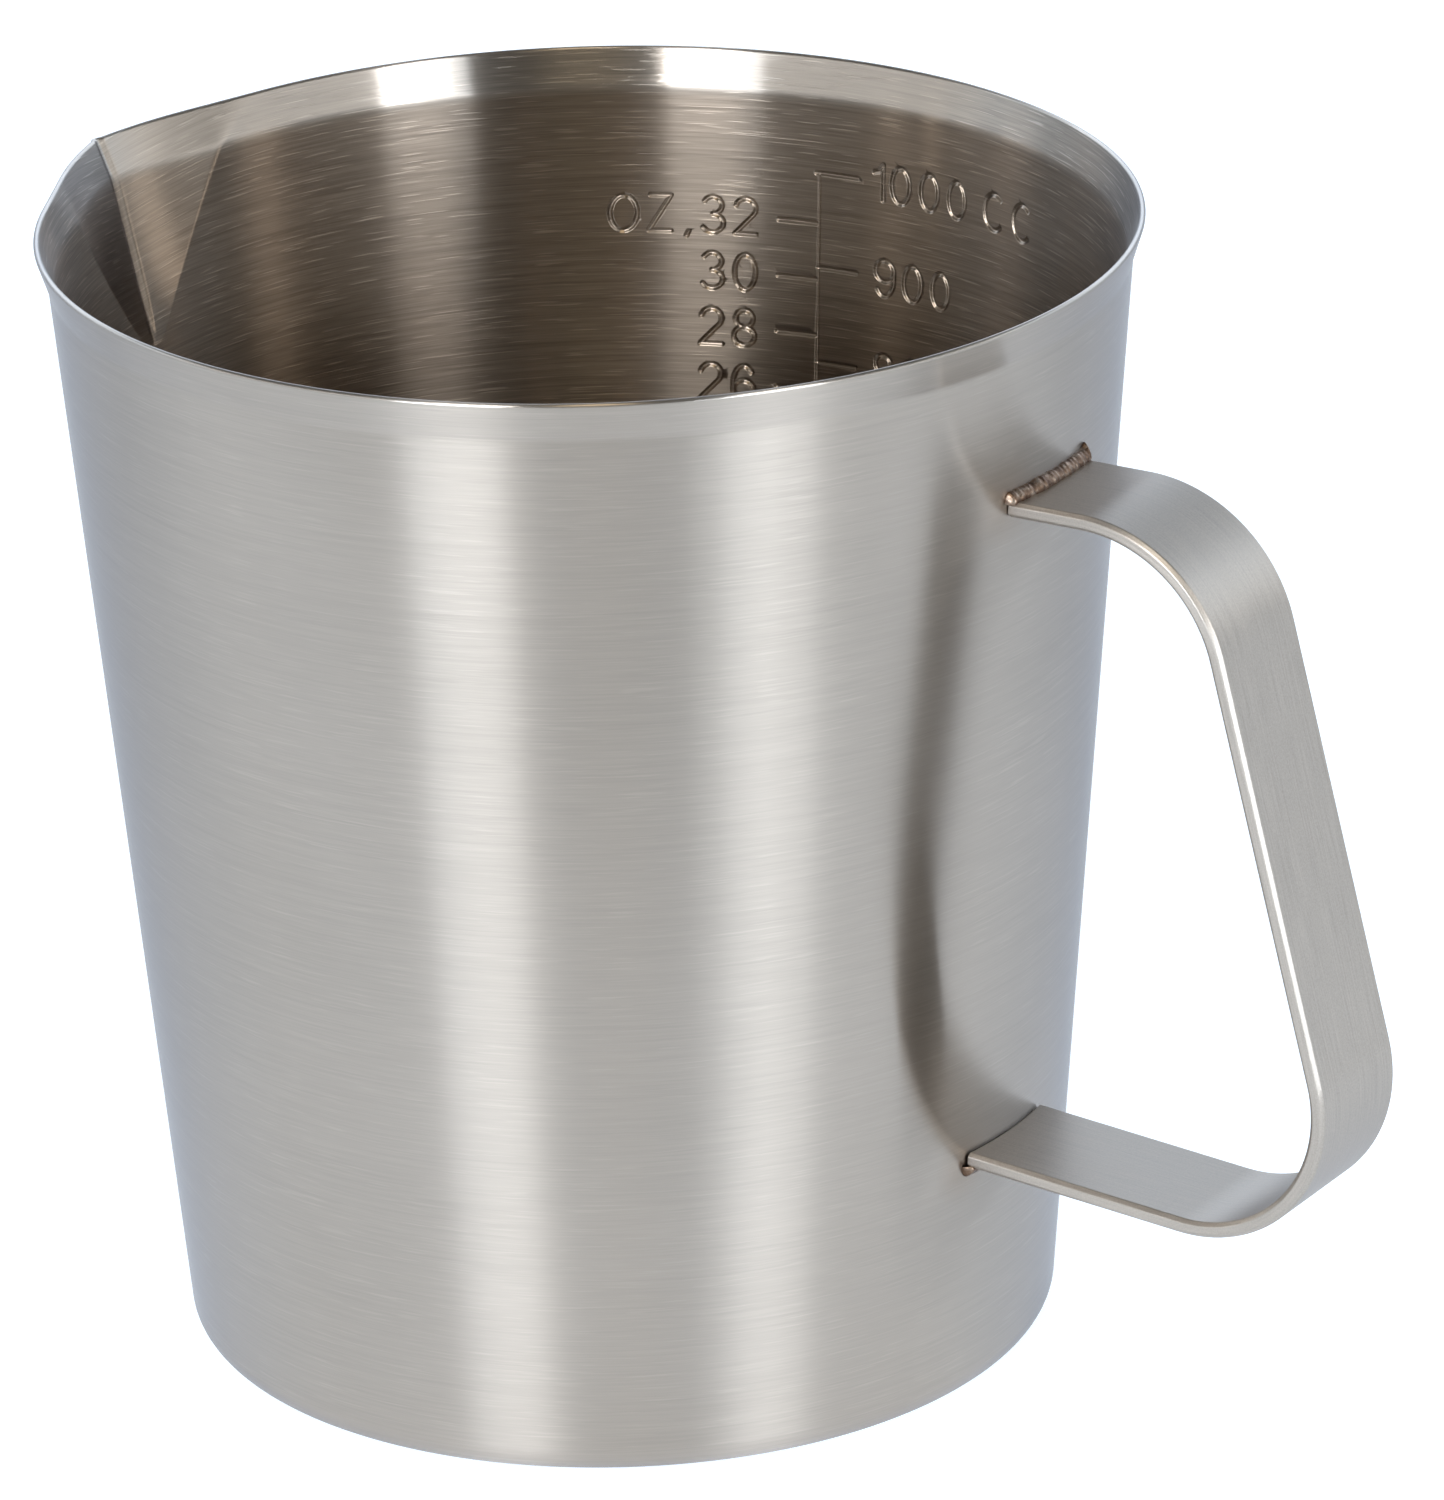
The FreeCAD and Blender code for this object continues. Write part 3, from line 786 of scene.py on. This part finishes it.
def floor_paper():
    material, t = new_material("pale_glowing_floor")
    position = t.add("ShaderNodeTexCoord").outputs["Object"]
    tone = t.spread(t.noise(position, 2.0, 0.5, 6.0), 0.3, 0.7, 0.58, 0.60)
    colour = t.add("ShaderNodeCombineXYZ", {0: tone, 1: tone, 2: tone}).outputs[0]
    seen = t.add("ShaderNodeLightPath").outputs["Is Camera Ray"]
    # the floor glows as painted light: evenly to the camera, and in reflections brightest beside
    # the cup, dimmer behind it and far in front
    to_camera, _ = view_axes()
    ahead = t.add("ShaderNodeVectorMath", {0: position, 1: to_camera},
                  operation="DOT_PRODUCT").outputs["Value"]
    mirrored = t.math("MULTIPLY", t.spread(ahead, -0.12, 0.10, 0.41, 0.70),
                      t.spread(ahead, 0.14, 0.20, 1.0, 0.52))
    glow = t.add("ShaderNodeMix", {0: seen, 2: mirrored, 3: 0.80}).outputs[0]
    shader = t.add("ShaderNodeBsdfPrincipled", {"Base Color": colour, "Roughness": 0.85,
                                                "Specular IOR Level": 0.1,
                                                "Emission Color": (0.87, 1.0, 1.16, 1),
                                                "Emission Strength": glow})
    t.add("ShaderNodeOutputMaterial", {"Surface": shader.outputs[0]})
    return material


# ---------------------------------------------------------------- studio
CAMERA_AT = Vector((614.3, -928.1, 507.4))
CAMERA_AIM = Vector((10.70, 7.09, 65.86))
CAMERA_ROLL = -0.028
CAMERA_LENS = 258.2
# The softboxes: name, place as degrees from the camera's direction, half its width in
# degrees, degrees of lean, lower and upper edge in metres, and radiance.
STRIP_LIGHTS = (
    ("left_low", -28.8, 8.3, 0.0, 0.0, 0.12, 5.2),
    ("left_middle", -28.7, 10.6, 0.0, 0.0, 0.45, 6.4),
    ("left_high", -26.5, 9.0, 0.0, 0.45, 1.2, 9.0),
    ("right_low", 27.6, 9.0, 0.0, 0.0, 0.12, 7.8),
    ("right_middle", 35.0, 10.2, 6.0, 0.0, 0.45, 6.2),
    ("right_high", 39.0, 8.0, 0.0, 0.45, 1.2, 5.5))
STRIP_DISTANCE = 1.1


def view_axes():
    """Level directions from the cup to the camera and to the picture's right."""
    to_camera = Vector((CAMERA_AT.x, CAMERA_AT.y, 0)).normalized()
    return to_camera, Vector((-to_camera.y, to_camera.x, 0))


def make_camera():
    data = bpy.data.cameras.new("camera")
    data.lens = CAMERA_LENS
    data.sensor_width = 36.0
    data.clip_start, data.clip_end = 0.05, 50.0
    camera = bpy.data.objects.new("camera", data)
    SCENE.collection.objects.link(camera)
    forward = (CAMERA_AIM - CAMERA_AT).normalized()
    level = forward.cross(Vector((0, 0, 1))).normalized()
    upright = level.cross(forward)
    right = level * math.cos(CAMERA_ROLL) + upright * math.sin(CAMERA_ROLL)
    up = upright * math.cos(CAMERA_ROLL) - level * math.sin(CAMERA_ROLL)
    camera.matrix_world = (Matrix.Translation(CAMERA_AT * MM)
                           @ Matrix((right, up, -forward)).transposed().to_4x4())
    SCENE.camera = camera


def make_floor():
    size = 6.0
    mesh = bpy.data.meshes.new("floor")
    mesh.from_pydata([(-size, -size, 0), (size, -size, 0), (size, size, 0),
                      (-size, size, 0)], [], [[0, 1, 2, 3]])
    floor = bpy.data.objects.new("floor", mesh)
    SCENE.collection.objects.link(floor)
    mesh.materials.append(floor_paper())


def strip_light(name, degrees, half_degrees, lean, low, high, radiance):
    """An upright softbox that leans to the picture's right by lean degrees. The ones that
    start above the floor are a little warmer."""
    to_camera, right = view_axes()
    a = math.radians(degrees)
    way = to_camera * math.cos(a) + right * math.sin(a)
    data = bpy.data.lights.new(f"{name}_softbox", "AREA")
    data.shape = "RECTANGLE"
    data.size = 2 * STRIP_DISTANCE * math.tan(math.radians(half_degrees))
    data.size_y = high - low
    data.color = (1.0, 1.0, 1.0) if low else (0.91, 1.0, 1.11)
    data.energy = radiance * math.pi * data.size * data.size_y
    light = bpy.data.objects.new(data.name, data)
    light.visible_camera = False
    SCENE.collection.objects.link(light)
    # a light shines along its own -Z, so its +Z points away from the cup
    middle = way * STRIP_DISTANCE + Vector((0, 0, (low + high) / 2))
    light.matrix_world = (Matrix.Translation(middle)
                          @ Matrix.Rotation(-math.radians(lean), 4, way)
                          @ way.to_track_quat("Z", "Y").to_matrix().to_4x4())


def make_world():
    """A pale tent round the cup, dark above and dark behind the camera."""
    world = bpy.data.worlds.new("studio")
    SCENE.world = world
    world.use_nodes = True
    t = Tree(world.node_tree)
    way = t.add("ShaderNodeTexCoord").outputs["Generated"]
    to_camera, _ = view_axes()
    part = t.add("ShaderNodeSeparateXYZ", {0: way}).outputs
    level = t.add("ShaderNodeCombineXYZ", {0: part[0], 1: part[1]}).outputs[0]
    level = t.add("ShaderNodeVectorMath", {0: level}, operation="NORMALIZE").outputs[0]

    def share_of(direction):
        return t.add("ShaderNodeVectorMath", {0: level, 1: direction},
                     operation="DOT_PRODUCT").outputs["Value"]

    ahead, height = share_of(to_camera), part[2]

    def blend(factor, a, b):
        return t.add("ShaderNodeMix", {0: factor, 2: a, 3: b}).outputs[0]

    def within(inner_degrees, outer_degrees):
        """0 outside outer_degrees from the camera's direction, 1 inside inner_degrees."""
        return t.spread(ahead, math.cos(math.radians(outer_degrees)),
                        math.cos(math.radians(inner_degrees)), 0.0, 1.0)

    # the tent is brightest in front and dimmest a little behind the cup's sides
    tent = t.math("MULTIPLY", t.math("ABSOLUTE", t.math("ADD", ahead, 0.45)), 0.65)
    tent = t.math("ADD", tent, 1.3)
    # towards the camera the tent ends lower than behind the cup, in a brighter band
    front = t.spread(ahead, -0.3, 0.15, 0.0, 1.0)
    band = t.spread(front, 0.0, 1.0, 1.5, 1.9)
    low = t.spread(front, 0.0, 1.0, 0.40, 0.52)
    tent = t.math("MULTIPLY", tent, t.spread(height, 0.185, 0.235, low, band))
    # the tent is dark round the camera and above
    tent = blend(within(26, 34), tent, 0.12)
    above = blend(front, t.spread(height, 0.50, 0.65, 0.0, 1.0),
                  t.spread(height, 0.29, 0.37, 0.0, 1.0))
    bright = blend(above, tent, 0.14)
    warm = t.math("MULTIPLY", t.spread(height, 0.10, 0.40, 0.0, 1.0), front)
    colour = t.mix(warm, (0.88, 1.0, 1.14, 1), (1.09, 1.0, 0.87, 1))
    colour = t.add("ShaderNodeVectorMath", {0: colour, "Scale": bright},
                   operation="SCALE").outputs[0]
    # a warm patch high above the camera
    glow = t.math("MULTIPLY", within(8, 13), t.spread(height, 0.60, 0.72, 0.0, 1.0))
    colour = t.mix(glow, colour, (2.4, 2.0, 1.4, 1))
    # the camera sees plain white
    seen = t.add("ShaderNodeLightPath").outputs["Is Camera Ray"]
    colour = t.mix(seen, colour, (1.0, 1.0, 1.0, 1))
    back = t.add("ShaderNodeBackground", {"Color": colour, "Strength": 1.0})
    t.add("ShaderNodeOutputWorld", {"Surface": back.outputs[0]})


def make_lights():
    for light in STRIP_LIGHTS:
        strip_light(*light)
    make_world()
    SCENE.view_settings.view_transform = "Standard"


# ---------------------------------------------------------------- everything in its place
def dress(piece, node, material):
    piece.data.materials.append(material)
    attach(piece, "root")
    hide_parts(node)


make_camera()
make_floor()
make_lights()
dress(make_cup(), "cup_shell", cup_steel())
dress(make_strap(), "handle_strap", strap_steel())
weld = weld_metal()
strap_top = UPPER_CORNER[1] + STRAP_HALF_THICKNESS
dress(make_bead("upper_weld", strap_top, 1, 3, 1.25, 0.9),
      "upper_weld_bead", weld)
lower_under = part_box("lower_weld_bead")[1].z / MM
dress(make_bead("lower_weld", lower_under, -1, 8, 1.15, 0.0),
      "lower_weld_bead", weld)
